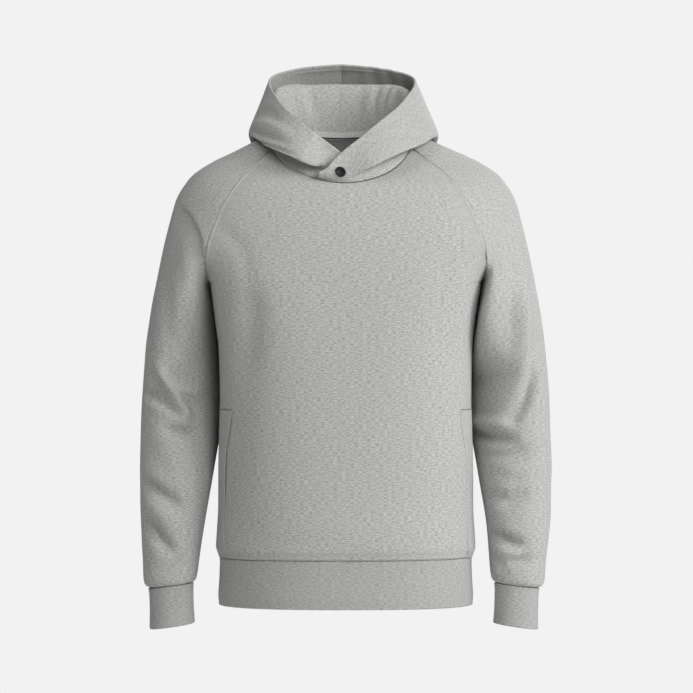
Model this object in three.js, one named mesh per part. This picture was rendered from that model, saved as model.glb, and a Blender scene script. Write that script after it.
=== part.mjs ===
// A pullover hoodie as it hangs on a wearer who isn't there: raglan sleeves, a crossover hood that
// is down, one press stud at the crossover, side pockets, and a band at the hem and at each cuff.
// Millimetres, +Z up, +X to the right of someone facing the garment, and its front faces -Y.
// The origin is where the wearer's shoulders hold it: mid-width, at the height of the neck's side.
// Every cloth piece is a wall laid over a surface(u, v), which is its outer face.
import * as THREE from 'three';

// Driving dimensions.
const BODY_CLOTH = 2.0;
const HOOD_CLOTH = 3.6;      // two layers of cloth, turned at the opening edge
const BAND_CLOTH = 3.6;      // hem band and cuffs, folded double
const POCKET_CLOTH = 1.4;
const TAPE_CLOTH = 1.0;
const SEAM_GAP = 0.3;
const HOOD_LIFT = 0.9;
const YOKE_END_Z = -150;     // the raglan seams leave the smooth yoke here and enter the underarm
const UNDERARM_Z = -205;
const HEM_SEAM_Z = -611;
const HEM_END_Z = -682;
const CUFF_SEAM_Z = -652;
const CUFF_END_Z = -712;
const NECK = { half: 107, front: 101, back: 88, peakZ: 30 };
const YOKE_SQUARENESS = 2.3; // 2 is an ellipse
const CUFF_TILT = 0.14;      // the cuff's outer side hangs lower
const TILT_FROM_Z = -450;
const POCKET = { topZ: -393.5, topX: 167, endX: 180 };
const SNAP = {
  turn: 1, underTurn: 7, up: 0.67, underUp: 0.5, radius: 7.6, height: 1.8, dish: 0.5, clear: 0.9, plate: 1.2,
};
const TAPE = { fromTurn: 108, up: 0.026 };
const SLIDE = { x: -8, fromZ: -80, halvedBy: 140, goneBy: 180 };
const GREY = 0xb2b2b0;

// Level cuts through the shoulders: half width, and depth to the front and to the back.
const YOKE = [
  { z: 30, half: 70, front: 3, back: 40 },
  { z: 18, half: 105, front: 14, back: 78 },
  { z: 14, half: 114, front: 19, back: 88 },
  { z: 0, half: 144, front: 34, back: 101 },
  { z: -8, half: 161, front: 42, back: 106 },
  { z: -25, half: 197, front: 59, back: 114 },
  { z: -43, half: 225, front: 80, back: 121 },
  { z: -61, half: 240, front: 101, back: 127 },
  { z: -79, half: 250.5, front: 114, back: 131.5 },
  { z: -97, half: 256.5, front: 122.5, back: 135 },
  { z: -132, half: 266, front: 133, back: 140 },
  { z: -168, half: 274, front: 139, back: 143 },
  { z: -205, half: 281.5, front: 143, back: 144 },
];

// Half the width at which the raglan seams cross each level.
const RAGLAN_FRONT = [
  { z: 30, half: 62 },
  { z: 0, half: 97 },
  { z: -18, half: 115.5 },
  { z: -40, half: 142 },
  { z: -63, half: 163 },
  { z: -90, half: 180 },
  { z: -120, half: 193 },
  { z: -150, half: 203 },
  { z: -205, half: 207 },
];
const RAGLAN_BACK = [
  { z: 30, half: 40 },
  { z: 14, half: 76 },
  { z: -20, half: 122 },
  { z: -60, half: 159 },
  { z: -100, half: 183 },
  { z: -150, half: 202 },
  { z: -205, half: 207 },
];

// Level cuts through the body, below the arms. It is squarer under the chest.
const TORSO = [
  { z: -150, half: 205.5, front: 136, back: 141, square: 3.6 },
  { z: -205, half: 200, front: 143, back: 143, square: 3.4 },
  { z: -260, half: 193.5, front: 146, back: 141, square: 3.1 },
  { z: -300, half: 188.5, front: 147, back: 138, square: 2.9 },
  { z: -380, half: 186.3, front: 146.5, back: 134, square: 2.7 },
  { z: -471, half: 188.3, front: 145, back: 134, square: 2.6 },
  { z: -543, half: 188.8, front: 145, back: 136, square: 2.5 },
  { z: -580, half: 191, front: 146.5, back: 139, square: 2.5 },
  { z: -598, half: 191.5, front: 147, back: 139.5, square: 2.5 },
  { z: -611, half: 187.2, front: 143, back: 136, square: 2.5 },
  { z: -640, half: 187.6, front: 142.5, back: 136.5, square: 2.5 },
  { z: -668, half: 189.4, front: 143.5, back: 138, square: 2.5 },
  { z: -682, half: 188, front: 142.5, back: 137, square: 2.5 },
];

// Level cuts through a sleeve and its cuff: the sides near and far from the body, the depth to
// the front and to the back, where its middle lies, how far its near side is tucked back, and
// how square it is.
const SLEEVE = [
  { z: -150, near: 205.9, far: 270, front: 62, back: 62, middle: 0, tuck: 0, square: 1.7 },
  { z: -205, near: 200.4, far: 281.5, front: 84, back: 86, middle: 0, tuck: 0, square: 1.8 },
  { z: -228, near: 199, far: 286.6, front: 86.5, back: 88.5, middle: 1, tuck: 5, square: 1.9 },
  { z: -257, near: 195, far: 291.5, front: 84, back: 87, middle: 2, tuck: 24, square: 2.0 },
  { z: -300, near: 187.8, far: 297, front: 76.5, back: 80, middle: 4, tuck: 46, square: 2.1 },
  { z: -364, near: 184, far: 302, front: 65, back: 69.5, middle: 4, tuck: 46, square: 2.2 },
  { z: -420, near: 186.5, far: 304.5, front: 60, back: 62, middle: 0, tuck: 36, square: 2.2 },
  { z: -471, near: 194, far: 305.6, front: 56, back: 58, middle: -6, tuck: 12, square: 2.2 },
  { z: -507, near: 199.5, far: 304.8, front: 53, back: 54, middle: -11, tuck: 0, square: 2.2 },
  { z: -543, near: 205.5, far: 304, front: 50, back: 50, middle: -17, tuck: 0, square: 2.2 },
  { z: -578, near: 211, far: 302, front: 47, back: 46, middle: -22, tuck: 0, square: 2.2 },
  { z: -614, near: 216, far: 300, front: 44, back: 43, middle: -28, tuck: 0, square: 2.2 },
  { z: -638, near: 219, far: 299, front: 42, back: 41, middle: -31, tuck: 0, square: 2.2 },
  { z: -647, near: 221.5, far: 296, front: 39, back: 38, middle: -32.5, tuck: 0, square: 2.2 },
  { z: -652, near: 224.5, far: 291.5, front: 35.5, back: 34.5, middle: -33, tuck: 0, square: 2.2 },
  { z: -682, near: 224.5, far: 289.5, front: 34, back: 33, middle: -36, tuck: 0, square: 2.2 },
  { z: -712, near: 222.5, far: 289.5, front: 34.5, back: 33.5, middle: -39, tuck: 0, square: 2.2 },
];

// The hood, by the angle round the neck from its front middle. It rises from the neck seam to a
// roll, drops to a fold, and rises again to the opening edge.
const HOOD = [
  { turn: -21, rollX: -37, rollY: -101, rollZ: -53, foldX: -36, foldY: -104, foldZ: -50, edgeX: -35, edgeY: -106, edgeZ: -48 },
  { turn: -8, rollX: -17, rollY: -103, rollZ: -54, foldX: -18, foldY: -105, foldZ: -48, edgeX: -21, edgeY: -106, edgeZ: -39 },
  { turn: 8, rollX: 14, rollY: -101, rollZ: -54, foldX: 12, foldY: -104, foldZ: -50, edgeX: -3, edgeY: -99, edgeZ: -21 },
  { turn: 25, rollX: 43.5, rollY: -89, rollZ: -31, foldX: 46, foldY: -104, foldZ: -36, edgeX: 31, edgeY: -85, edgeZ: 7 },
  { turn: 45, rollX: 70, rollY: -66, rollZ: -9, foldX: 81, foldY: -88, foldZ: -19, edgeX: 59, edgeY: -66, edgeZ: 31 },
  { turn: 68, rollX: 92, rollY: -33, rollZ: 14, foldX: 114, foldY: -52, foldZ: -3, edgeX: 84, edgeY: -34, edgeZ: 53 },
  { turn: 90, rollX: 98, rollY: 10, rollZ: 50, foldX: 133, foldY: -6, foldZ: 11, edgeX: 100, edgeY: 8, edgeZ: 74 },
  { turn: 115, rollX: 98, rollY: 48, rollZ: 78, foldX: 134, foldY: 60, foldZ: 5, edgeX: 111, edgeY: 54, edgeZ: 95 },
  { turn: 140, rollX: 85, rollY: 82, rollZ: 91, foldX: 114, foldY: 124, foldZ: -36, edgeX: 102, edgeY: 92, edgeZ: 111 },
  { turn: 160, rollX: 50, rollY: 97, rollZ: 93, foldX: 62, foldY: 153, foldZ: -78, edgeX: 60, edgeY: 114, edgeZ: 123 },
  { turn: 180, rollX: 0, rollY: 101, rollZ: 94, foldX: 0, foldY: 165, foldZ: -96, edgeX: 0, edgeY: 122, edgeZ: 129 },
];

// The largest folds. Each is a soft ridge, or a trough where its rise is negative, along a line
// seen from the front or the back. Lines on the left have a negative x.
const SLEEVE_FOLDS = [
  { face: -1, fromX: -247, fromZ: -92, toX: -216, toZ: -140, width: 16, rise: -4 },
  { face: -1, fromX: -234, fromZ: -150, toX: -222, toZ: -285, width: 18, rise: 4 },
  { face: -1, fromX: -280, fromZ: -345, toX: -216, toZ: -398, width: 16, rise: 6 },
  { face: -1, fromX: -304, fromZ: -386, toX: -226, toZ: -424, width: 15, rise: -6 },
  { face: -1, fromX: -300, fromZ: -500, toX: -250, toZ: -530, width: 16, rise: -5 },
  { face: -1, fromX: -298, fromZ: -560, toX: -255, toZ: -592, width: 15, rise: -5 },
  { face: -1, fromX: 292, fromZ: -290, toX: 248, toZ: -396, width: 17, rise: -6 },
  { face: -1, fromX: 190, fromZ: -404, toX: 240, toZ: -410, width: 15, rise: 6 },
  { face: -1, fromX: 196, fromZ: -440, toX: 262, toZ: -446, width: 15, rise: -6 },
  { face: -1, fromX: 222, fromZ: -588, toX: 262, toZ: -600, width: 15, rise: -5 },
  { face: 1, fromX: -296, fromZ: -392, toX: -216, toZ: -446, width: 17, rise: 6 },
  { face: 1, fromX: -288, fromZ: -450, toX: -222, toZ: -496, width: 16, rise: -5 },
  { face: 1, fromX: -292, fromZ: -582, toX: -244, toZ: -606, width: 15, rise: -5 },
  { face: 1, fromX: 290, fromZ: -372, toX: 214, toZ: -430, width: 17, rise: 6 },
  { face: 1, fromX: 286, fromZ: -434, toX: 226, toZ: -480, width: 16, rise: -5 },
  { face: 1, fromX: 292, fromZ: -596, toX: 246, toZ: -616, width: 15, rise: -5 },
];
const BODY_FOLDS = [
  { face: 1, fromX: -150, fromZ: -150, toX: -96, toZ: -330, width: 26, rise: -4 },
  { face: 1, fromX: 150, fromZ: -150, toX: 102, toZ: -320, width: 26, rise: -4 },
  { face: 1, fromX: -70, fromZ: -520, toX: 76, toZ: -534, width: 24, rise: 3 },
];

const lerp = THREE.MathUtils.lerp;
const radians = THREE.MathUtils.degToRad;
const clamp01 = (t) => Math.min(1, Math.max(0, t));
const ease = (t) => clamp01(t) ** 2 * (3 - 2 * clamp01(t));

// A table's column as a smooth function of its first column, by cubic Hermite pieces.
function smoothTable(rows, key) {
  const descending = rows[0][key] > rows[rows.length - 1][key];
  const sorted = descending ? [...rows].reverse() : rows;
  const slope = (i, column) => {
    const a = sorted[Math.max(0, i - 1)];
    const b = sorted[Math.min(sorted.length - 1, i + 1)];
    return (b[column] - a[column]) / (b[key] - a[key]);
  };
  return (where, column) => {
    let i = 0;
    while (i < sorted.length - 2 && where > sorted[i + 1][key]) i += 1;
    const a = sorted[i];
    const b = sorted[i + 1];
    const span = b[key] - a[key];
    const t = clamp01((where - a[key]) / span);
    const t2 = t * t;
    const t3 = t2 * t;
    return (2 * t3 - 3 * t2 + 1) * a[column] + (t3 - 2 * t2 + t) * span * slope(i, column)
      + (3 * t2 - 2 * t3) * b[column] + (t3 - t2) * span * slope(i + 1, column);
  };
}
const yoke = smoothTable(YOKE, 'z');
const torso = smoothTable(TORSO, 'z');
const sleeve = smoothTable(SLEEVE, 'z');
const raglanFront = smoothTable(RAGLAN_FRONT, 'z');
const raglanBack = smoothTable(RAGLAN_BACK, 'z');
const hood = smoothTable(HOOD, 'turn');

// The root of a falling or rising function between two ends.
function bisect(f, low, high) {
  const sign = Math.sign(f(low));
  for (let i = 0; i < 40; i += 1) {
    const middle = (low + high) / 2;
    if (Math.sign(f(middle)) === sign) low = middle; else high = middle;
  }
  return (low + high) / 2;
}

// Radius of a squared-off unit circle at an angle.
const squared = (angle, n) => (
  (Math.abs(Math.sin(angle)) ** n + Math.abs(Math.cos(angle)) ** n) ** (-1 / n));

// A point of a level cut, at an angle from its front middle.
function levelPoint(table, n, angle, z) {
  const r = squared(angle, n);
  const depth = Math.cos(angle) > 0 ? table(z, 'front') : table(z, 'back');
  return new THREE.Vector3(table(z, 'half') * r * Math.sin(angle), -depth * r * Math.cos(angle), z);
}
const yokePoint = (angle, z) => levelPoint(yoke, YOKE_SQUARENESS, angle, z);
const torsoPoint = (angle, z) => levelPoint(torso, torso(z, 'square'), angle, z);

// The angle at which a raglan seam crosses a level, measured from the front or the back middle.
function seamAngle(seam, z) {
  const share = seam(z, 'half') / yoke(z, 'half');
  return Math.atan((share ** -YOKE_SQUARENESS - 1) ** (-1 / YOKE_SQUARENESS));
}
const frontSeamAngle = (z) => seamAngle(raglanFront, z);
const backSeamAngle = (z) => Math.PI - seamAngle(raglanBack, z);

// The neck hole is an oval seen from above. This is negative inside it.
function neckSide(p) {
  return (p.x / NECK.half) ** 2 + (p.y / (p.y < 0 ? NECK.front : NECK.back)) ** 2 - 1;
}
// The height at which a column of a yoke piece meets the neck hole.
const columnTop = (angleAt) => (
  bisect((z) => neckSide(yokePoint(angleAt(z), z)), YOKE_END_Z, NECK.peakZ));

// The neck seam's point at an angle round the neck from its front middle.
function neckPoint(turn) {
  const x = NECK.half * Math.sin(turn);
  const y = -(Math.cos(turn) > 0 ? NECK.front : NECK.back) * Math.cos(turn);
  const inside = (z) => (Math.abs(x) / yoke(z, 'half')) ** YOKE_SQUARENESS
    + (Math.abs(y) / yoke(z, y < 0 ? 'front' : 'back')) ** YOKE_SQUARENESS - 1;
  return new THREE.Vector3(x, y, bisect(inside, YOKE_END_Z, NECK.peakZ));
}

// The level of a row: 0 to 1 down the yoke, 1 to 2 through the underarm, 2 to 3 below it.
// The armhole seam turns a quarter of an oval through the underarm, from upright to level.
function rowLevel(row, top, end) {
  if (row <= 1) return lerp(top, YOKE_END_Z, row);
  if (row <= 2) return lerp(YOKE_END_Z, UNDERARM_Z, Math.sin((row - 1) * Math.PI / 2));
  return lerp(UNDERARM_Z, end, row - 2);
}
// How far a point has left the yoke for the tubes below it, near a seam and away from one.
function underarmShare(row, nearSeam) {
  if (row <= 1) return 0;
  const turn = (row - 1) * Math.PI / 2;
  return lerp(ease(Math.sin(turn)), 1 - Math.cos(turn), ease((nearSeam - 0.4) / 0.4));
}

// A body panel. Its columns are shares of the angle from its middle, 0, to its edges, -1 and 1.
// In the yoke they crowd towards its edges, and spread from there round the underarm.
function bodySurface(facing) {
  const fromMiddle = (z) => (
    facing === 'front' ? frontSeamAngle(z) : Math.PI - backSeamAngle(z));
  const angle = (share, span) => (facing === 'front' ? share * span : Math.PI - share * span);
  return (share, row) => {
    const crowded = Math.sin(share * Math.PI / 2);
    const top = columnTop((z) => angle(crowded, fromMiddle(z)));
    const z = rowLevel(row, top, HEM_SEAM_Z);
    const below = torsoPoint(angle(share, Math.PI / 2), z);
    if (row >= 2) return below;
    return yokePoint(angle(crowded, fromMiddle(z)), z)
      .lerp(below, underarmShare(row, Math.abs(share)));
  };
}

// A sleeve's ring, from the side near the body round its front, its far side and its back.
function sleevePoint(round, z) {
  const near = sleeve(z, 'near');
  const half = (sleeve(z, 'far') - near) / 2;
  const angle = round * 2 * Math.PI;
  const r = squared(angle, sleeve(z, 'square'));
  const depth = Math.sin(angle) > 0 ? sleeve(z, 'front') : sleeve(z, 'back');
  const aside = -half * r * Math.cos(angle);
  const tilt = CUFF_TILT * ease((TILT_FROM_Z - z) / (TILT_FROM_Z - CUFF_END_Z));
  const tuck = sleeve(z, 'tuck') * ((1 + Math.cos(angle)) / 2) ** 1.5;
  return new THREE.Vector3(near + half + aside,
    sleeve(z, 'middle') + tuck - depth * r * Math.sin(angle), z - tilt * aside);
}

// A raglan sleeve. Its columns run from the front seam, 0, over the shoulder to the back seam, 1.
function sleeveSurface(round, row) {
  const angleAt = (z) => lerp(frontSeamAngle(z), backSeamAngle(z), ease(round));
  const z = rowLevel(row, columnTop(angleAt), CUFF_SEAM_Z);
  const below = sleevePoint(round, z);
  if (row >= 2) return below;
  return yokePoint(angleAt(z), z).lerp(below, underarmShare(row, Math.abs(2 * round - 1)));
}

// A point of the hood, by the share of the way round to the back middle and up to its edge.
// The outer half lies on the inner one where they cross, so that one is pressed flat and back.
const OVERLAP = { flatTo: 12, freeFrom: 25, behindTo: 22, levelFrom: 32, back: HOOD_CLOTH + 2.6 };
const HOOD_ROLL = 0.26;
const HOOD_FOLD = 0.56;
const roundOf = (turn) => (turn - HOOD[0].turn) / (180 - HOOD[0].turn);
function hoodSurface(isUnder) {
  return (round, up) => {
    const turn = lerp(HOOD[0].turn, 180, round);
    const angle = radians(turn);
    const outward = new THREE.Vector3(Math.sin(angle) / NECK.half, -Math.cos(angle) / NECK.front, 0)
      .normalize();
    const point = (name) => new THREE.Vector3(hood(turn, `${name}X`), hood(turn, `${name}Y`),
      hood(turn, `${name}Z`));
    const seam = neckPoint(angle).add(new THREE.Vector3(0, 0, HOOD_LIFT));
    const edge = point('edge');
    const free = isUnder ? ease((turn - OVERLAP.flatTo) / (OVERLAP.freeFrom - OVERLAP.flatTo)) : 1;
    const behind = isUnder
      ? 1 - ease((turn - OVERLAP.behindTo) / (OVERLAP.levelFrom - OVERLAP.behindTo)) : 0;
    const proud = Math.max(0, edge.clone().sub(seam).dot(outward));
    edge.addScaledVector(outward, (free - 1) * proud);
    const roll = seam.clone().lerp(edge, HOOD_ROLL).lerp(point('roll'), free);
    const fold = seam.clone().lerp(edge, HOOD_FOLD).lerp(point('fold'), free);
    const bend = free * ease(turn / HOOD[3].turn);
    const piece = (a, b, leave, arrive, t) => {
      const t2 = t * t;
      const t3 = t2 * t;
      return a.clone().multiplyScalar(2 * t3 - 3 * t2 + 1)
        .addScaledVector(leave, t3 - 2 * t2 + t)
        .addScaledVector(b, 3 * t2 - 2 * t3)
        .addScaledVector(arrive, t3 - t2);
    };
    const straight = (a, b) => b.clone().sub(a);
    const over = (a, b, share) => straight(a, b)
      .lerp(outward.clone().multiplyScalar(a.distanceTo(b) * share), bend);
    let at;
    if (up < HOOD_ROLL) {
      const rise = new THREE.Vector3(0, 0, seam.distanceTo(roll));
      at = piece(seam, roll, rise, over(seam, roll, 0.5), up / HOOD_ROLL);
    } else if (up < HOOD_FOLD) {
      at = piece(roll, fold, over(roll, fold, 0.7), over(roll, fold, 0.55),
        (up - HOOD_ROLL) / (HOOD_FOLD - HOOD_ROLL));
    } else {
      const belly = 0.08 * bend + 0.55 * ease((turn - 95) / 60);
      const lean = straight(fold, edge).addScaledVector(outward, -belly * fold.distanceTo(edge));
      at = piece(fold, edge, over(fold, edge, 0.75), lean, (up - HOOD_FOLD) / (1 - HOOD_FOLD));
    }
    return at.addScaledVector(outward, -OVERLAP.back * behind);
  };
}

// A surface with folds added along its normal. They fade to nothing at the edges of the piece.
function withFolds(surface, side, folds, edgeFade) {
  return (u, v) => {
    const p = surface(u, v);
    const n = normalOf(surface, u, v, side);
    let rise = 0;
    for (const f of folds) {
      const line = new THREE.Vector2(f.toX - f.fromX, f.toZ - f.fromZ);
      const reach = new THREE.Vector2(p.x - f.fromX, p.z - f.fromZ);
      const along = clamp01(reach.dot(line) / line.lengthSq());
      const away = reach.addScaledVector(line, -along).length() / f.width;
      rise += f.rise * Math.exp(-away * away) * ease(Math.max(0, n.y * f.face) * 1.2);
    }
    return p.addScaledVector(n, rise * edgeFade(u, v));
  };
}

// The outward normal of a surface. Its two directions turn the other way on a mirrored piece,
// and side says which way is out.
const STEP = 1e-4;
function normalOf(surface, u, v, side, ends = { u: [-1e9, 1e9], v: [-1e9, 1e9] }) {
  const range = (x, [low, high]) => [Math.max(low, x - STEP), Math.min(high, x + STEP)];
  const [u0, u1] = range(u, ends.u);
  const [v0, v1] = range(v, ends.v);
  const across = surface(u1, v).sub(surface(u0, v));
  const along = surface(u, v1).sub(surface(u, v0));
  return across.cross(along).normalize().multiplyScalar(side);
}

// The garment has slid a little to one side on the wearer's neck: the hood most, the shoulders not.
function slide(p) {
  const high = ease((p.z - SLIDE.fromZ) / -SLIDE.fromZ);
  const halved = 0.5 * ease((Math.abs(p.x) - SLIDE.halvedBy + 80) / 80);
  const gone = 0.5 * ease((Math.abs(p.x) - SLIDE.goneBy + 70) / 70) * (1 - ease(p.z / 30));
  return p.setX(p.x + SLIDE.x * high * (1 - halved - gone));
}

// The inner face of a wall. Where a fold is too tight for the cloth, its layers press thinner.
function liningUnder(face, normals, wall, closed) {
  const columns = face.length;
  const rows = face[0].length;
  const thickness = face.map((column) => column.map(() => wall));
  const under = (i, j) => face[i][j].clone().addScaledVector(normals[i][j], -thickness[i][j]);
  const over = (i, j) => face[i][j];
  const facet = (at, [a, b, c]) => (
    at(...b).clone().sub(at(...a)).cross(at(...c).clone().sub(at(...a))));
  for (let pass = 0; pass < 40; pass += 1) {
    for (let i = 0; i < (closed ? columns : columns - 1); i += 1) {
      const k = (i + 1) % columns;
      for (let j = 0; j < rows - 1; j += 1) {
        for (const corners of [[[i, j], [k, j], [k, j + 1]], [[i, j], [k, j + 1], [i, j + 1]]]) {
          const outer = facet(over, corners);
          if (outer.dot(facet(under, corners)) < outer.lengthSq() * 0.25) {
            for (const [a, b] of corners) {
              thickness[a][b] = Math.max(wall * 0.12, thickness[a][b] * 0.85);
            }
          }
        }
      }
    }
  }
  return face.map((column, i) => column.map((p, j) => under(i, j)));
}

// A closed wall of cloth under a surface, over a grid of u and v. Open edges draw back by half a
// seam gap. A closed piece joins its last column to its first.
function clothWall(surface, us, vs, wall, { side = 1, mirror = false, closed = false,
  meetsMirror = false, raise = 0, drawBack = SEAM_GAP / 2 } = {}) {
  const ends = {
    u: closed ? [-1e9, 1e9] : [us[0], us[us.length - 1]],
    v: [vs[0], vs[vs.length - 1]],
  };
  const columns = us.length;
  const rows = vs.length;
  const outer = us.map((u) => vs.map((v) => surface(u, v)));
  const normals = us.map((u) => vs.map((v) => normalOf(surface, u, v, side, ends)));
  if (meetsMirror) normals[columns - 1].forEach((n) => n.setX(0).normalize());
  const drawn = outer.map((column, i) => column.map((p, j) => {
    const moved = p.clone();
    const pull = (q) => moved.addScaledVector(q.clone().sub(p).normalize(), drawBack);
    if (!closed && i === 0) pull(outer[1][j]);
    if (!closed && i === columns - 1) pull(outer[i - 1][j]);
    if (j === 0) pull(column[1]);
    if (j === rows - 1) pull(column[j - 1]);
    return moved;
  }));
  const face = drawn.map((column, i) => column.map((p, j) => (
    p.clone().addScaledVector(normals[i][j], raise))));
  const lining = liningUnder(face, normals, wall, closed);
  const positions = [];
  for (const layer of [face, lining]) {
    for (const q of layer.flat()) positions.push(...slide(mirror ? q.setX(-q.x) : q));
  }
  const index = (layer, i, j) => (layer * columns + (i % columns)) * rows + j;
  const triangles = [];
  const quad = (a, b, c, d) => triangles.push(a, b, c, a, c, d);
  const lastColumn = closed ? columns : columns - 1;
  for (let i = 0; i < lastColumn; i += 1) {
    for (let j = 0; j < rows - 1; j += 1) {
      quad(index(0, i, j), index(0, i + 1, j), index(0, i + 1, j + 1), index(0, i, j + 1));
      quad(index(1, i, j), index(1, i, j + 1), index(1, i + 1, j + 1), index(1, i + 1, j));
    }
    quad(index(0, i, 0), index(1, i, 0), index(1, i + 1, 0), index(0, i + 1, 0));
    quad(index(0, i, rows - 1), index(0, i + 1, rows - 1), index(1, i + 1, rows - 1),
      index(1, i, rows - 1));
  }
  if (!closed) {
    for (let j = 0; j < rows - 1; j += 1) {
      const end = columns - 1;
      quad(index(0, 0, j), index(0, 0, j + 1), index(1, 0, j + 1), index(1, 0, j));
      quad(index(0, end, j), index(1, end, j), index(1, end, j + 1), index(0, end, j + 1));
    }
  }
  if ((side < 0) !== mirror) {
    for (let k = 0; k < triangles.length; k += 3) {
      [triangles[k + 1], triangles[k + 2]] = [triangles[k + 2], triangles[k + 1]];
    }
  }
  const geometry = new THREE.BufferGeometry();
  geometry.setAttribute('position', new THREE.Float32BufferAttribute(positions, 3));
  geometry.setIndex(triangles);
  geometry.computeVertexNormals();
  return geometry;
}

const steps = (from, to, count) => (
  Array.from({ length: count + 1 }, (_, i) => lerp(from, to, i / count)));
// Rows below the underarm are closest together at its level, by a power of their share.
const rowsDown = (yokeRows, underarmRows, lowerRows, crowding) => [
  ...steps(0, 1, yokeRows), ...steps(1, 2, underarmRows).slice(1),
  ...steps(0, 1, lowerRows).slice(1).map((share) => 2 + share ** crowding)];

const knit = new THREE.MeshStandardMaterial({ color: GREY, roughness: 0.95, metalness: 0 });
const rib = new THREE.MeshStandardMaterial({ color: 0xacaca9, roughness: 0.95, metalness: 0 });
const blackMetal = new THREE.MeshStandardMaterial({ color: 0x1b1b1c, roughness: 0.45, metalness: 0.6 });

function piece(name, geometry, material) {
  const mesh = new THREE.Mesh(geometry, material);
  mesh.name = name;
  return mesh;
}

// Body panels, from the neck seam to the hem seam.
const BODY_ROWS = rowsDown(7, 4, 11, 1.3);
const sideFade = (share, row) => ease((1 - Math.abs(share)) / 0.15) * ease((3 - row) / 0.1);
const frontSurface = bodySurface('front');
const backSurface = withFolds(bodySurface('back'), 1, BODY_FOLDS, sideFade);
const front = () => clothWall(frontSurface, steps(-1, 1, 22), BODY_ROWS, BODY_CLOTH, { side: -1 });
const back = () => clothWall(backSurface, steps(-1, 1, 22), BODY_ROWS, BODY_CLOTH);

// Sleeves and cuffs. The left ones are mirrored, with folds of their own.
function sleevePanel(isLeft) {
  const folds = SLEEVE_FOLDS.filter((f) => (f.fromX < 0) === isLeft)
    .map((f) => ({ ...f, fromX: Math.abs(f.fromX), toX: Math.abs(f.toX) }));
  const fade = (round, row) => ease(Math.min(round, 1 - round) / 0.26) * ease(row / 0.4)
    * ease((3 - row) / 0.08);
  return clothWall(withFolds(sleeveSurface, -1, folds, fade), steps(0, 1, 20),
    rowsDown(7, 4, 20, 1.15), BODY_CLOTH, { side: -1, mirror: isLeft });
}
function cuff(isLeft) {
  return clothWall(sleevePoint, steps(0, 1, 20).slice(0, -1), steps(CUFF_SEAM_Z, CUFF_END_Z, 2),
    BAND_CLOTH, { side: -1, mirror: isLeft, closed: true });
}
function hemBand() {
  const surface = (round, z) => torsoPoint(round * 2 * Math.PI, z);
  return clothWall(surface, steps(0, 1, 44).slice(0, -1), steps(HEM_SEAM_Z, HEM_END_Z, 3),
    BAND_CLOTH, { side: -1, closed: true });
}

// Hood halves. The one on the right lies on top at the crossover.
function hoodHalf(isLeft) {
  const ups = [...steps(0, HOOD_ROLL, 4), ...steps(HOOD_ROLL, HOOD_FOLD, 5).slice(1),
    ...steps(HOOD_FOLD, 1, 5).slice(1)];
  return clothWall(hoodSurface(isLeft), steps(0, 1, 26), ups, HOOD_CLOTH,
    { mirror: isLeft, meetsMirror: true });
}

// The tape inside the back of the neck, which lies on the foot of the hood's stand.
function neckTape() {
  const half = hoodSurface(false);
  const surface = (turn, up) => {
    const p = half(roundOf(turn > 180 ? 360 - turn : turn), up);
    return turn > 180 ? p.setX(-p.x) : p;
  };
  return clothWall(surface, steps(TAPE.fromTurn, 360 - TAPE.fromTurn, 24), steps(0, TAPE.up, 1),
    TAPE_CLOTH, { raise: -HOOD_CLOTH - SEAM_GAP });
}

// The facing of a side pocket, on the front panel from the pocket's line to the side seam.
function pocketFacing(isLeft) {
  const shareOf = (x, z) => bisect((share) => torsoPoint(share * Math.PI / 2, z).x - x, 0, 1);
  const topRow = 2 + (POCKET.topZ - UNDERARM_Z) / (HEM_SEAM_Z - UNDERARM_Z);
  const surface = (across, row) => {
    const z = rowLevel(row, 0, HEM_SEAM_Z);
    const down = (row - topRow) / (3 - topRow);
    const x = lerp(POCKET.topX, POCKET.endX, ease(down * 3) * 0.6 + down * 0.4);
    return torsoPoint(lerp(shareOf(x, z), 1, across) * Math.PI / 2, z);
  };
  const rows = [topRow, ...BODY_ROWS.filter((row) => row > topRow)];
  return clothWall(surface, steps(0, 1, 10), rows, POCKET_CLOTH,
    { side: -1, mirror: isLeft, raise: POCKET_CLOTH + SEAM_GAP });
}

// A turned piece about an axis: its profile runs from the foot of the axis to its top.
function turned(profile, segments, foot, axis) {
  const frame = new THREE.Quaternion().setFromUnitVectors(new THREE.Vector3(0, 0, 1), axis);
  const positions = [];
  const place = (r, angle, h) => {
    const p = new THREE.Vector3(r * Math.cos(angle), r * Math.sin(angle), h);
    positions.push(...slide(p.applyQuaternion(frame).add(foot)));
  };
  place(0, 0, profile[0].h);
  const rings = profile.slice(1, -1);
  for (const { r, h } of rings) {
    for (let i = 0; i < segments; i += 1) place(r, i / segments * 2 * Math.PI, h);
  }
  place(0, 0, profile[profile.length - 1].h);
  const last = rings.length * segments + 1;
  const at = (ring, i) => 1 + ring * segments + (i % segments);
  const triangles = [];
  for (let i = 0; i < segments; i += 1) {
    triangles.push(0, at(0, i + 1), at(0, i));
    triangles.push(last, at(rings.length - 1, i), at(rings.length - 1, i + 1));
    for (let ring = 0; ring < rings.length - 1; ring += 1) {
      triangles.push(at(ring, i), at(ring, i + 1), at(ring + 1, i + 1));
      triangles.push(at(ring, i), at(ring + 1, i + 1), at(ring + 1, i));
    }
  }
  const geometry = new THREE.BufferGeometry();
  geometry.setAttribute('position', new THREE.Float32BufferAttribute(positions, 3));
  geometry.setIndex(triangles);
  geometry.computeVertexNormals();
  return geometry;
}

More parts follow.
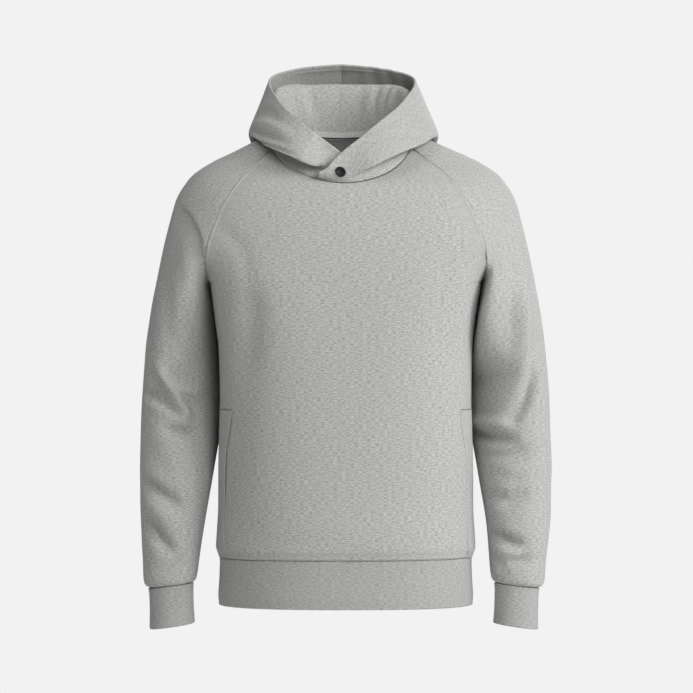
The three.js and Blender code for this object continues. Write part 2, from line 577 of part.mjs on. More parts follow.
// The press stud: its cap on the upper hood half, and its plate inside the lower one.
function snapCap() {
  const surface = hoodSurface(false);
  const out = normalOf(surface, roundOf(SNAP.turn), SNAP.up, 1);
  const foot = surface(roundOf(SNAP.turn), SNAP.up).addScaledVector(out, SNAP.clear);
  const { radius, height, dish } = SNAP;
  return turned([
    { r: 0, h: 0 },
    { r: radius - 0.4, h: 0 },
    { r: radius, h: height * 0.4 },
    { r: radius - 0.5, h: height },
    { r: radius - 1.8, h: height },
    { r: radius - 2.6, h: height - dish },
    { r: 0, h: height - dish },
  ], 28, foot, out);
}
function snapPlate() {
  const surface = hoodSurface(true);
  const out = normalOf(surface, roundOf(SNAP.underTurn), SNAP.underUp, 1);
  const foot = surface(roundOf(SNAP.underTurn), SNAP.underUp)
    .addScaledVector(out, -HOOD_CLOTH - SNAP.clear - SNAP.plate);
  const mirrored = (p) => p.setX(-p.x);
  return turned([
    { r: 0, h: 0 },
    { r: SNAP.radius - 1.4, h: 0 },
    { r: SNAP.radius - 1, h: SNAP.plate * 0.5 },
    { r: SNAP.radius - 1, h: SNAP.plate },
    { r: 0, h: SNAP.plate },
  ], 20, mirrored(foot), mirrored(out));
}

const group = new THREE.Group();
group.add(
  piece('front', front(), knit),
  piece('back', back(), knit),
  piece('sleeve_right', sleevePanel(false), knit),
  piece('sleeve_left', sleevePanel(true), knit),
  piece('cuff_right', cuff(false), rib),
  piece('cuff_left', cuff(true), rib),
  piece('hem_band', hemBand(), rib),
  piece('hood_right', hoodHalf(false), knit),
  piece('hood_left', hoodHalf(true), knit),
  piece('neck_tape', neckTape(), rib),
  piece('pocket_right', pocketFacing(false), knit),
  piece('pocket_left', pocketFacing(true), knit),
  piece('snap_cap', snapCap(), blackMetal),
  piece('snap_plate', snapPlate(), blackMetal),
);

export default group;
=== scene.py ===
"""Looks of the pullover hoodie: fine cloth shells on the forms of its solids.

Shapes are worked out in millimetres in the part's own frame, and made in metres.
Every shell comes from a surface of two shares, laid out as a grid of columns and rows.
"""
import math

import bpy
import numpy as np
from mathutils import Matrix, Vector


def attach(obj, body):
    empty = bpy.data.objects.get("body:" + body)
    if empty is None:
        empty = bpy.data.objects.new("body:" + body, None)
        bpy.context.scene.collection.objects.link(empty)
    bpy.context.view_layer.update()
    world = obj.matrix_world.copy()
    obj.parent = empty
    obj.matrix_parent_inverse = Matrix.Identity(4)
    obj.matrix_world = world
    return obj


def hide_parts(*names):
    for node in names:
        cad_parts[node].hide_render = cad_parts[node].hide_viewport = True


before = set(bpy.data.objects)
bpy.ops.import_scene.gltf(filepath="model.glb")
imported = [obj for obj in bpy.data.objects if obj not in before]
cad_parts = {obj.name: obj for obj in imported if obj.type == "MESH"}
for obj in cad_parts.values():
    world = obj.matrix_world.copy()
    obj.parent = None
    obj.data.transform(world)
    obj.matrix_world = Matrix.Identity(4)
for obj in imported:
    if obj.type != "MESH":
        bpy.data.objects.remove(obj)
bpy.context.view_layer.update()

MM_IN_M = 1000

# Camera: level, square to the front, far enough back for little perspective.
CAMERA_X, CAMERA_Y, CAMERA_Z = 1.2, -5500, -299.6
VIEW_WIDTH = 1030.5
SENSOR = 36
CAMERA_SEES_TO = 100


def place_camera():
    data = bpy.data.cameras.new("camera")
    data.sensor_width = SENSOR
    data.lens = SENSOR * -CAMERA_Y / VIEW_WIDTH
    data.clip_end = CAMERA_SEES_TO
    camera = bpy.data.objects.new("camera", data)
    camera.location = (CAMERA_X / MM_IN_M, CAMERA_Y / MM_IN_M, CAMERA_Z / MM_IN_M)
    camera.rotation_euler = (math.radians(90), 0, 0)
    bpy.context.scene.collection.objects.link(camera)
    bpy.context.scene.camera = camera


place_camera()

# Driving sizes that the solids have too.
BODY_CLOTH = 2.0
HOOD_CLOTH = 3.6
BAND_CLOTH = 3.6
POCKET_CLOTH = 1.4
TAPE_CLOTH = 1.0
SEAM_GAP = 0.3
HOOD_LIFT = 0.9
YOKE_END_Z = -150
YOKE_TABLE_END_Z = -260
UNDERARM_Z = -205
HEM_SEAM_Z = -611
HEM_END_Z = -682
CUFF_SEAM_Z = -652
CUFF_END_Z = -712
NECK_HALF, NECK_FRONT, NECK_BACK, NECK_PEAK_Z = 107, 101, 88, 30
YOKE_SQUARENESS = 2.3
CUFF_TILT, TILT_FROM_Z = 0.14, -450
TUCK_ROUND = 1.5

# The slide to one side: its size and start, how far out it is halved, and gone below a height.
SLIDE_X, SLIDE_FROM_Z = -8, -80
SLIDE_HALVED, SLIDE_HALVED_OVER = 140, 80
SLIDE_GONE, SLIDE_GONE_OVER, SLIDE_GONE_BELOW_Z = 180, 70, 30

# Sizes of the finer shells alone. Sewn pieces draw back less than the solids do.
SEWN_CLOSE = 0.04
# A panel leaves the yoke at once beside its seam, past these shares, and elsewhere over this way.
BODY_SEAM_FROM, BODY_SEAM_OVER = 0.6, 0.35
SLEEVE_SEAM_FROM, SLEEVE_SEAM_OVER = 0.8, 0.18
LEAVES_YOKE_OVER = 105
# The right sleeve's front beside the body is fuller and squarer, and comes forward.
FULLER_TO_Z, FULLER_OVER_Z = -350, 90
FULLER_TO_SHARE, FULLER_OVER_SHARE = 0.42, 0.3
FULLER_SQUARE, FULLER_TUCK_ROUND, FULLER_FORWARD = 6, 10, 16
# The sleeves touch the body down to a height, and the fuller front keeps clear of it below one.
TOUCHES_TO_Z = -300
CLEAR_FROM_Z, CLEAR_OVER_Z, CLEAR_BY = -215, 20, 0.8


def hermite(a, b, leave, arrive, t):
    """A smooth way from a to b, which leaves and arrives with the given slopes."""
    t = np.clip(t, 0, 1)
    return (
        (2 * t**3 - 3 * t**2 + 1) * a + (t**3 - 2 * t**2 + t) * leave
        + (3 * t**2 - 2 * t**3) * b + (t**3 - t**2) * arrive
    )


def smooth_table(names, rows):
    """Columns as smooth functions of the first one, by cubic Hermite pieces."""
    names = names.split()
    data = np.array(sorted(rows), float)
    keys = data[:, 0]
    last = len(keys) - 1
    before = np.maximum(np.arange(last + 1) - 1, 0)
    after = np.minimum(np.arange(last + 1) + 1, last)
    slopes = (data[after] - data[before]) / (keys[after] - keys[before])[:, None]

    def at(where, name):
        c = names.index(name)
        where = np.asarray(where, float)
        i = np.clip(np.searchsorted(keys, where, side="left") - 1, 0, last - 1)
        span = keys[i + 1] - keys[i]
        leave, arrive = span * slopes[i, c], span * slopes[i + 1, c]
        return hermite(data[i, c], data[i + 1, c], leave, arrive, (where - keys[i]) / span)

    return at


# Level cuts through the shoulders, the raglan seams, the body below the arms and a sleeve.
yoke = smooth_table("z half front back", [
    (30, 70, 3, 40), (18, 105, 14, 78), (14, 114, 19, 88), (0, 144, 34, 101),
    (-8, 161, 42, 106), (-25, 197, 59, 114), (-43, 225, 80, 121), (-61, 240, 101, 127),
    (-79, 250.5, 114, 131.5), (-97, 256.5, 122.5, 135), (-132, 266, 133, 140),
    (-168, 274, 139, 143), (-205, 281.5, 143, 144),
    (-260, 291, 147, 143),
])
raglan_front = smooth_table("z half", [
    (30, 62), (0, 97), (-18, 115.5), (-40, 142), (-63, 163), (-90, 180), (-120, 193),
    (-150, 203), (-205, 207), (-260, 210),
])
raglan_back = smooth_table("z half", [
    (30, 40), (14, 76), (-20, 122), (-60, 159), (-100, 183), (-150, 202), (-205, 207),
    (-260, 210),
])
torso = smooth_table("z half front back square", [
    (-150, 205.5, 136, 141, 3.6), (-205, 200, 143, 143, 3.4), (-260, 193.5, 146, 141, 3.1),
    (-300, 188.5, 147, 138, 2.9), (-380, 186.3, 146.5, 134, 2.7), (-471, 188.3, 145, 134, 2.6),
    (-543, 188.8, 145, 136, 2.5), (-580, 191, 146.5, 139, 2.5), (-598, 191.5, 147, 139.5, 2.5),
    (-611, 187.2, 143, 136, 2.5), (-640, 187.6, 142.5, 136.5, 2.5),
    (-668, 189.4, 143.5, 138, 2.5), (-682, 188, 142.5, 137, 2.5),
])
sleeve = smooth_table("z near far front back middle tuck square", [
    (-150, 205.9, 270, 62, 62, 0, 0, 1.7), (-205, 200.4, 281.5, 84, 86, 0, 0, 1.8),
    (-228, 199, 286.6, 86.5, 88.5, 1, 5, 1.9), (-257, 195, 291.5, 84, 87, 2, 24, 2.0),
    (-300, 187.8, 297, 76.5, 80, 4, 46, 2.1), (-364, 184, 302, 65, 69.5, 4, 46, 2.2),
    (-420, 186.5, 304.5, 60, 62, 0, 36, 2.2), (-471, 194, 305.6, 56, 58, -6, 12, 2.2),
    (-507, 199.5, 304.8, 53, 54, -11, 0, 2.2), (-543, 205.5, 304, 50, 50, -17, 0, 2.2),
    (-578, 211, 302, 47, 46, -22, 0, 2.2), (-614, 216, 300, 44, 43, -28, 0, 2.2),
    (-638, 219, 299, 42, 41, -31, 0, 2.2), (-647, 221.5, 296, 39, 38, -32.5, 0, 2.2),
    (-652, 224.5, 291.5, 35.5, 34.5, -33, 0, 2.2), (-682, 224.5, 289.5, 34, 33, -36, 0, 2.2),
    (-712, 222.5, 289.5, 34.5, 33.5, -39, 0, 2.2),
])

# The hood, by the angle round the neck from its front middle: a roll, a fold and the opening's edge.
HOOD_START = -21
hood = smooth_table("turn rollX rollY rollZ foldX foldY foldZ edgeX edgeY edgeZ", [
    (-21, -37, -101, -53, -36, -104, -50, -35, -106, -48),
    (-8, -17, -103, -54, -18, -105, -48, -21, -106, -39),
    (8, 14, -101, -54, 12, -104, -50, -3, -99, -21),
    (25, 43.5, -89, -31, 46, -104, -36, 31, -85, 7),
    (45, 70, -66, -9, 81, -88, -19, 59, -66, 31),
    (68, 92, -33, 14, 114, -52, -3, 84, -34, 53),
    (90, 98, 10, 50, 133, -6, 11, 100, 8, 74),
    (115, 98, 48, 78, 134, 60, 5, 111, 54, 95),
    (140, 85, 82, 91, 114, 124, -36, 102, 92, 111),
    (160, 50, 97, 93, 62, 153, -78, 60, 114, 123),
    (180, 0, 101, 94, 0, 165, -96, 0, 122, 129),
])


def mix(a, b, t):
    return a + (b - a) * t


def ease(t):
    t = np.clip(t, 0, 1)
    return t * t * (3 - 2 * t)


HALVINGS = 34


def bisect(f, low, high):
    """The roots of f, one for each element, between two ends."""
    sign = np.sign(f(low))
    for _ in range(HALVINGS):
        middle = (low + high) / 2
        same = np.sign(f(middle)) == sign
        low = np.where(same, middle, low)
        high = np.where(same, high, middle)
    return (low + high) / 2


def stacked(x, y, z):
    return np.stack(np.broadcast_arrays(x, y, z), -1).astype(float)


def squared(angle, n):
    return (np.abs(np.sin(angle)) ** n + np.abs(np.cos(angle)) ** n) ** (-1 / n)


def level_point(at, n, angle, z):
    """A point of a level cut, at an angle from its front middle."""
    r = squared(angle, n)
    depth = np.where(np.cos(angle) > 0, at(z, "front"), at(z, "back"))
    return stacked(at(z, "half") * r * np.sin(angle), -depth * r * np.cos(angle), z)


def yoke_point(angle, z):
    return level_point(yoke, YOKE_SQUARENESS, angle, z)


def torso_point(angle, z):
    return level_point(torso, torso(z, "square"), angle, z)


def seam_angle(seam, z):
    share = seam(z, "half") / yoke(z, "half")
    return np.arctan((share**-YOKE_SQUARENESS - 1) ** (-1 / YOKE_SQUARENESS))


def front_seam_angle(z):
    return seam_angle(raglan_front, z)


def back_seam_angle(z):
    return np.pi - seam_angle(raglan_back, z)


def neck_heights(shape):
    """The heights between which the neck hole's edge lies."""
    return np.full(shape, float(YOKE_END_Z)), np.full(shape, float(NECK_PEAK_Z))


def column_top(angle_at, like):
    """The height at which each column meets the neck hole, an oval seen from above."""
    def side(z):
        p = yoke_point(angle_at(z), z)
        y = p[..., 1]
        return (p[..., 0] / NECK_HALF) ** 2 + (y / np.where(y < 0, NECK_FRONT, NECK_BACK)) ** 2 - 1

    return bisect(side, *neck_heights(like.shape))


def neck_point(turn):
    """A point of the neck hole's edge, at an angle from its front middle."""
    x = NECK_HALF * np.sin(turn)
    y = -np.where(np.cos(turn) > 0, NECK_FRONT, NECK_BACK) * np.cos(turn)

    def inside(z):
        depth = np.where(y < 0, yoke(z, "front"), yoke(z, "back"))
        return (np.abs(x) / yoke(z, "half")) ** YOKE_SQUARENESS + (np.abs(y) / depth) ** YOKE_SQUARENESS - 1

    return stacked(x, y, bisect(inside, *neck_heights(turn.shape)))


def row_level(row, top, end):
    """Down the yoke from 0 to 1, through the underarm to 2, and below it to 3."""
    upper = mix(top, YOKE_END_Z, row)
    under = mix(YOKE_END_Z, UNDERARM_Z, np.sin((np.clip(row, 1, 2) - 1) * np.pi / 2))
    lower = mix(UNDERARM_Z, end, row - 2)
    return np.where(row <= 1, upper, np.where(row <= 2, under, lower))


def underarm_share(z, row, beside_seam):
    """How far a point has left the yoke: at once near a seam, and over a longer way apart from it."""
    turn = (np.clip(row, 1, 2) - 1) * np.pi / 2
    apart = ease((YOKE_END_Z - z) / LEAVES_YOKE_OVER)
    return mix(apart, 1 - np.cos(turn), ease(beside_seam))[..., None]


def body_surface(facing):
    def at(share, row):
        def span(z):
            return front_seam_angle(z) if facing == "front" else np.pi - back_seam_angle(z)

        def angle(s, widest):
            return s * widest if facing == "front" else np.pi - s * widest

        crowded = np.sin(share * np.pi / 2)
        top = column_top(lambda z: angle(crowded, span(z)), crowded)
        z = row_level(row, top, HEM_SEAM_Z)
        above = yoke_point(angle(crowded, span(np.maximum(z, YOKE_TABLE_END_Z))), z)
        below = torso_point(angle(share, np.pi / 2), z)
        beside_seam = (np.abs(share) - BODY_SEAM_FROM) / BODY_SEAM_OVER
        return mix(above, below, underarm_share(z, row, beside_seam))

    return at


def torso_half_at(y, z):
    """Half the torso's width at a depth and a height."""
    deep = np.where(y < 0, torso(z, "front"), torso(z, "back"))
    square = torso(z, "square")
    return torso(z, "half") * np.maximum(0, 1 - (np.abs(y) / deep) ** square) ** (1 / square)


def sleeve_point(share, z, is_fuller=False):
    """A sleeve's ring, from near the body round its front. The front near side may be fuller."""
    near = sleeve(z, "near")
    near = np.where(z > TOUCHES_TO_Z, np.minimum(near, torso(z, "half") + SEAM_GAP), near)
    half = (sleeve(z, "far") - near) / 2
    angle = share * 2 * np.pi
    fuller = is_fuller * ease((FULLER_TO_SHARE - share) / FULLER_OVER_SHARE)
    fuller = fuller * ease((z - FULLER_TO_Z) / FULLER_OVER_Z)
    r = squared(angle, sleeve(z, "square") + FULLER_SQUARE * fuller)
    depth = np.where(np.sin(angle) > 0, sleeve(z, "front"), sleeve(z, "back"))
    aside = -half * r * np.cos(angle)
    tilt = CUFF_TILT * ease((TILT_FROM_Z - z) / (TILT_FROM_Z - CUFF_END_Z))
    tuck = ((1 + np.cos(angle)) / 2) ** (TUCK_ROUND + FULLER_TUCK_ROUND * fuller)
    middle = sleeve(z, "middle") + sleeve(z, "tuck") * tuck
    y = middle - depth * r * np.sin(angle) - FULLER_FORWARD * fuller * np.maximum(0, np.sin(2 * angle))
    x = near + half + aside
    short = np.maximum(0, torso_half_at(y, z) + CLEAR_BY - x) * (fuller > 0)
    x = x + short * ease((CLEAR_FROM_Z - z) / CLEAR_OVER_Z)
    return stacked(x, y, z - tilt * aside)


def sleeve_surface(is_fuller):
    def at(share, row):
        def angle_at(z):
            return mix(front_seam_angle(z), back_seam_angle(z), ease(share))

        top = column_top(angle_at, share)
        z = row_level(row, top, CUFF_SEAM_Z)
        above = yoke_point(angle_at(np.maximum(z, YOKE_TABLE_END_Z)), z)
        below = sleeve_point(share, z, is_fuller)
        beside_seam = (np.abs(2 * share - 1) - SLEEVE_SEAM_FROM) / SLEEVE_SEAM_OVER
        return mix(above, below, underarm_share(z, row, beside_seam))

    return at


# The half below at the crossover, by turn: flat to a place and then free, behind and then level.
FLAT_TO, FREE_FROM, BEHIND_TO, LEVEL_FROM = 12, 25, 22, 32
OVERLAP_CLEAR = 2.6
OVERLAP_BACK = HOOD_CLOTH + OVERLAP_CLEAR
# Shares up the hood's cloth of its roll and its fold, and how roundly the cloth passes them.
HOOD_ROLL, HOOD_FOLD = 0.26, 0.56
ROLL_MEETS, ROLL_LEAVES, FOLD_MEETS, FOLD_LEAVES = 0.5, 0.7, 0.55, 0.75
FULL_BEND_TURN = 25
BELLY, BACK_BELLY, BACK_BELLY_FROM, BACK_BELLY_OVER = 0.08, 0.55, 95, 60


def round_of(turn):
    return (turn - HOOD_START) / (180 - HOOD_START)


def length_of(v):
    return np.linalg.norm(v, axis=-1, keepdims=True)


def hood_surface(is_under):
    def at(share, up):
        turn = mix(HOOD_START, 180, share)
        angle = np.radians(turn)
        outward = stacked(np.sin(angle) / NECK_HALF, -np.cos(angle) / NECK_FRONT, 0)
        outward /= length_of(outward)

        def point(name):
            return stacked(hood(turn, name + "X"), hood(turn, name + "Y"), hood(turn, name + "Z"))

        seam = neck_point(angle) + np.array([0, 0, HOOD_LIFT])
        edge = point("edge")
        free = ease((turn - FLAT_TO) / (FREE_FROM - FLAT_TO)) if is_under else np.ones(turn.shape)
        behind = 1 - ease((turn - BEHIND_TO) / (LEVEL_FROM - BEHIND_TO)) if is_under else 0 * turn
        proud = np.maximum(0, ((edge - seam) * outward).sum(-1))
        edge = edge + outward * ((free - 1) * proud)[..., None]
        loose = free[..., None]
        roll = mix(mix(seam, edge, HOOD_ROLL), point("roll"), loose)
        fold = mix(mix(seam, edge, HOOD_FOLD), point("fold"), loose)
        bend = (free * ease(turn / FULL_BEND_TURN))[..., None]

        def over(a, b, part):
            return mix(b - a, outward * length_of(b - a) * part, bend)

        rise = np.array([0, 0, 1.0]) * length_of(roll - seam)
        belly = BELLY * bend + BACK_BELLY * ease((turn - BACK_BELLY_FROM) / BACK_BELLY_OVER)[..., None]
        lean = edge - fold - outward * belly * length_of(edge - fold)
        up = up[..., None]
        down_share = (up - HOOD_ROLL) / (HOOD_FOLD - HOOD_ROLL)
        climb_share = (up - HOOD_FOLD) / (1 - HOOD_FOLD)
        stand = hermite(seam, roll, rise, over(seam, roll, ROLL_MEETS), up / HOOD_ROLL)
        fall = hermite(roll, fold, over(roll, fold, ROLL_LEAVES), over(roll, fold, FOLD_MEETS), down_share)
        climb = hermite(fold, edge, over(fold, edge, FOLD_LEAVES), lean, climb_share)
        made = np.where(up < HOOD_ROLL, stand, np.where(up < HOOD_FOLD, fall, climb))
        return made - outward * (OVERLAP_BACK * behind)[..., None]

    return at


def slide(p):
    """The garment has slid a little to one side on the neck."""
    aside = np.abs(p[..., 0])
    high = ease((p[..., 2] - SLIDE_FROM_Z) / -SLIDE_FROM_Z)
    halved = 0.5 * ease((aside - SLIDE_HALVED + SLIDE_HALVED_OVER) / SLIDE_HALVED_OVER)
    gone = 0.5 * ease((aside - SLIDE_GONE + SLIDE_GONE_OVER) / SLIDE_GONE_OVER)
    gone = gone * (1 - ease(p[..., 2] / SLIDE_GONE_BELOW_Z))
    moved = p.copy()
    moved[..., 0] += SLIDE_X * high * (1 - halved - gone)
    return moved


# Grids: columns by rows of points.
def steps(*stretches):
    """Even steps over stretches of a start, an end and a count, one after another."""
    first, *others = [np.linspace(*stretch) for stretch in stretches]
    return np.concatenate([first] + [other[1:] for other in others])


def unit(v):
    return v / np.maximum(length_of(v), 1e-9)


# Distances from a grid's edge of the lines that are added there.
EDGE_LINES = (0.6, 1.3, 2.1, 3.0, 4.0, 5.2, 6.6, 8.2)


def with_edge_lines(grid, axis, draw_back):
    """The grid with lines close to both its edges, which draw back to leave the seam's gap."""
    def added(rows):
        outer, inner = rows[:2]
        gap = length_of(inner[:, :3] - outer[:, :3])
        first = draw_back / gap
        made = [mix(outer, inner, first)]
        for k, distance in enumerate(EDGE_LINES):
            most = mix(first, 1, (k + 1) / (len(EDGE_LINES) + 1))
            made.append(mix(outer, inner, np.minimum(first + distance / gap, most)))
        return np.concatenate([made, rows[1:]])

    grid = np.swapaxes(grid, 0, axis)
    grid = added(added(grid)[::-1])[::-1]
    return np.swapaxes(grid, 0, axis)


def fine_grid(surface, us, vs, closed=False, draw_back=SEAM_GAP / 2):
    """Points of a surface, and the two shares that made them."""
    u, v = np.meshgrid(us, vs, indexing="ij")
    grid = np.concatenate([surface(u, v), u[..., None], v[..., None]], -1)
    if not closed:
        grid = with_edge_lines(grid, 0, draw_back)
    grid = with_edge_lines(grid, 1, draw_back)
    return grid[..., :3], grid[..., 3], grid[..., 4]


def normals_of(points, closed=False, flip=False):
    if closed:
        across = np.roll(points, -1, 0) - np.roll(points, 1, 0)
    else:
        across = np.gradient(points, axis=0)
    n = unit(np.cross(across, np.gradient(points, axis=1)))
    return -n if flip else n


def run_length(points, axis, anchor):
    """Distance along the rows or columns, from an anchor column or row."""
    gaps = np.linalg.norm(np.diff(points, axis=axis), axis=-1)
    total = np.concatenate([np.zeros_like(np.take(gaps, [0], axis)), np.cumsum(gaps, axis)], axis)
    return total - np.take(total, [anchor], axis)


# Relief beside seams. Each row of a profile is a distance from the sewn edge, a width and a rise.
RAGLAN_ON_BODY = ((0, 1.0, -0.25), (3.2, 1.6, 0.75))
RAGLAN_ON_SLEEVE = ((0, 1.0, -0.25),)
NECK_SEAM = ((0, 1.4, -0.4), (3.2, 1.6, 0.2))
HEM_SEAM = ((0, 1.3, -1), (3.3, 1.5, 1.2), (6.8, 1.1, -0.9))
CUFF_SEAM = ((0, 2.4, -1.4), (6, 3, 0.6))
HOOD_SEAM = ((0, 0.9, -0.15), (2.6, 1.2, 0.12))
TURNED_EDGE = ((6.6, 1.2, -0.35),)


def seam_relief(points, **profiles):
    total = np.zeros(points.shape[:-1])
    for edge, profile in profiles.items():
        axis = 0 if edge in ("left", "right") else 1
        away = np.abs(run_length(points, axis, 0 if edge in ("left", "start") else -1))
        for place, width, rise in profile:
            total += rise * np.exp(-((away - place) / width) ** 2)
    return total


def to_line(points, line):
    """Distance to a broken line, the share of the way along it, and 1 to its left or -1."""
    lengths = np.linalg.norm(np.diff(line, axis=0), axis=1)
    marks = np.concatenate([[0], np.cumsum(lengths)]) / lengths.sum()
    best = np.full(points.shape[:-1], 1e9)
    along = np.zeros(points.shape[:-1])
    side = np.ones(points.shape[:-1])
    for a, b, start, end in zip(line[:-1], line[1:], marks[:-1], marks[1:]):
        reach = points - a
        t = np.clip((reach @ (b - a)) / ((b - a) @ (b - a)), 0, 1)
        away = np.linalg.norm(reach - t[..., None] * (b - a), axis=-1)
        turn = np.sign((b - a)[0] * reach[..., 1] - (b - a)[1] * reach[..., 0])
        nearer = away < best
        best = np.where(nearer, away, best)
        along = np.where(nearer, mix(start, end, t), along)
        side = np.where(nearer, turn, side)
    return best, along, side


# How directly a surface has to face the viewer before a seen line has its full depth there.
FACES_VIEW = 1.8


def seen_lines(points, normals, rows, mirror, profile):
    """Relief along lines that are seen from the front, face -1, or from the back, face 1."""
    total = np.zeros(points.shape[:-1])
    seen = points[..., [0, 2]] * np.array([mirror, 1])
    for face, width, rise, *line in rows:
        away, along, side = to_line(seen, np.array(line, float).reshape(-1, 2))
        turned = ease(np.maximum(0, normals[..., 1] * face) * FACES_VIEW)
        total += profile(away, along, side, width, rise) * turned
    return total


# A fold's ends are lower than its middle, and the cloth beside it answers by a share of its rise.
ENDS_LOWER, ANSWER = 0.6, 0.35
# A tuck fades over shares of its length, steps down over a distance, and has a lip beside it.
TUCK_FADE, TUCK_STEP, TUCK_LIP, TUCK_LIP_WIDTH = 0.2, 4, 0.16, 0.5


def soft_fold(away, along, side, width, rise):
    """A ridge, or a trough where rise is negative, which the cloth beside it answers."""
    q = away / width
    ends = 1 - ENDS_LOWER * np.abs(2 * along - 1) ** 3
    return rise * ends * (1 - ANSWER * q * q) * np.exp(-q * q)


def tucked_fold(away, along, side, width, rise):
    """A step down on the line's left, from which the cloth comes back over a width."""
    ends = ease(along / TUCK_FADE) * ease((1 - along) / TUCK_FADE)
    down = np.exp(-away / width) * (1 - np.exp(-away / TUCK_STEP))
    lip = -TUCK_LIP * np.exp(-(away / (TUCK_LIP_WIDTH * width)) ** 2)
    return rise * ends * np.where(side > 0, down, lip)


rng = np.random.default_rng(7)


def soft_noise(shape, cells):
    """Smooth random relief over a grid, from a coarse lattice of that many cells each way."""
    lattice = rng.normal(0, 1, (cells[0] + 3, cells[1] + 3))

    def weights(count, most):
        """The cell of each place on a line, and the shares of the four lattice values round it."""
        t = np.linspace(0, most - 1e-6, count)
        f = t - np.floor(t)
        return np.floor(t).astype(int), np.stack([
            (1 - f) ** 3, 3 * f**3 - 6 * f**2 + 4, -3 * f**3 + 3 * f**2 + 3 * f + 1, f**3,
        ]) / 6

    iu, wu = weights(shape[0], cells[0])
    iv, wv = weights(shape[1], cells[1])
    made = np.zeros(shape)
    for a in range(4):
        for b in range(4):
            made += wu[a][:, None] * wv[b][None, :] * lattice[iu + a][:, iv + b]
    return made


# Making meshes.
def link_mesh(name, points, faces, uvs, material):
    mesh = bpy.data.meshes.new(name)
    mesh.from_pydata((points / MM_IN_M).tolist(), [], faces.tolist())
    layer = mesh.uv_layers.new(name="cloth")
    layer.data.foreach_set("uv", (uvs[faces.ravel()] / MM_IN_M).astype(np.float32).ravel())
    mesh.polygons.foreach_set("use_smooth", np.ones(len(faces), bool))
    mesh.materials.append(material)
    made = bpy.data.objects.new(name, mesh)
    bpy.context.scene.collection.objects.link(made)
    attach(made, "root")
    return made


def mirrored(points, faces):
    """The same piece on the other side."""
    return points * np.array([-1, 1, 1]), faces[:, ::-1]


def ring_faces(count, sides, flip=False):
    """Quads between rings of points, one ring after another."""
    rows = np.arange(count).reshape(-1, sides)
    turned = np.roll(rows, -1, 1)
    corners = [rows[:-1], turned[:-1], turned[1:], rows[1:]]
    if flip:
        corners = corners[:1] + corners[:0:-1]
    return np.stack(corners, -1).reshape(-1, 4)


RIM_STEPS = 4


def shell(node, face, wall, material, uv, normals, closed=False, flip=False, mirror=False, round_edges=()):
    """A closed cloth shell under a grid of outer points, with its turned edges rounded."""
    lining = face - normals * wall
    columns, rows = face.shape[:2]
    index = np.arange(columns * rows).reshape(columns, rows)
    count = columns * rows
    layers = [face.reshape(-1, 3), lining.reshape(-1, 3)]
    coordinates = [uv.reshape(-1, 2), uv.reshape(-1, 2)]
    ring = np.concatenate([index, index[:1]]) if closed else index
    corners = [ring[:-1, :-1], ring[1:, :-1], ring[1:, 1:], ring[:-1, 1:]]
    quads = [np.stack(corners, -1).reshape(-1, 4), np.stack(corners[::-1], -1).reshape(-1, 4) + count]

    # Loops of grid places round the open edges.
    low = [(i, 0) for i in range(columns)]
    high = [(i, rows - 1) for i in range(columns - 1, -1, -1)]
    if closed:
        loops = [low, high]
    else:
        right = [(columns - 1, j) for j in range(1, rows - 1)]
        left = [(0, j) for j in range(rows - 2, 0, -1)]
        loops = [low + right + high + left]
    for loop in loops:
        i, j = np.array(loop).T
        inner_i = i if closed else np.clip(i, 1, columns - 2)
        outer = face[i, j]
        under = lining[i, j]
        out = unit(outer - face[inner_i, np.clip(j, 1, rows - 2)])
        edges = {"start": j == 0, "end": j == rows - 1, "left": i == 0, "right": i == columns - 1}
        bulge = np.zeros(len(i))
        for edge in round_edges:
            bulge[edges[edge]] = wall / 2
        previous = index[i, j]
        for k in range(1, RIM_STEPS + 1):
            turn = math.pi * k / RIM_STEPS
            current = index[i, j] + count
            if k < RIM_STEPS:
                current = sum(len(layer) for layer in layers) + np.arange(len(i))
                middle = (outer + under) / 2 + (outer - under) / 2 * math.cos(turn)
                layers.append(middle + out * (bulge * math.sin(turn))[:, None])
                coordinates.append(uv[i, j])
            quads.append(np.stack([previous, current, np.roll(current, -1), np.roll(previous, -1)], -1))
            previous = current
    points = np.concatenate(layers)
    faces = np.concatenate(quads)
    if flip:
        faces = faces[:, ::-1]
    if mirror:
        points, faces = mirrored(points, faces)
    made = link_mesh(node + "_shell", slide(points), faces, np.concatenate(coordinates), material)
    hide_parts(node)
    return made


# Materials.
def srgb(*levels):
    def linear(c):
        c = c / 255
        return c / 12.92 if c <= 0.04045 else ((c + 0.055) / 1.055) ** 2.4

    return (*[linear(c) for c in levels], 1)


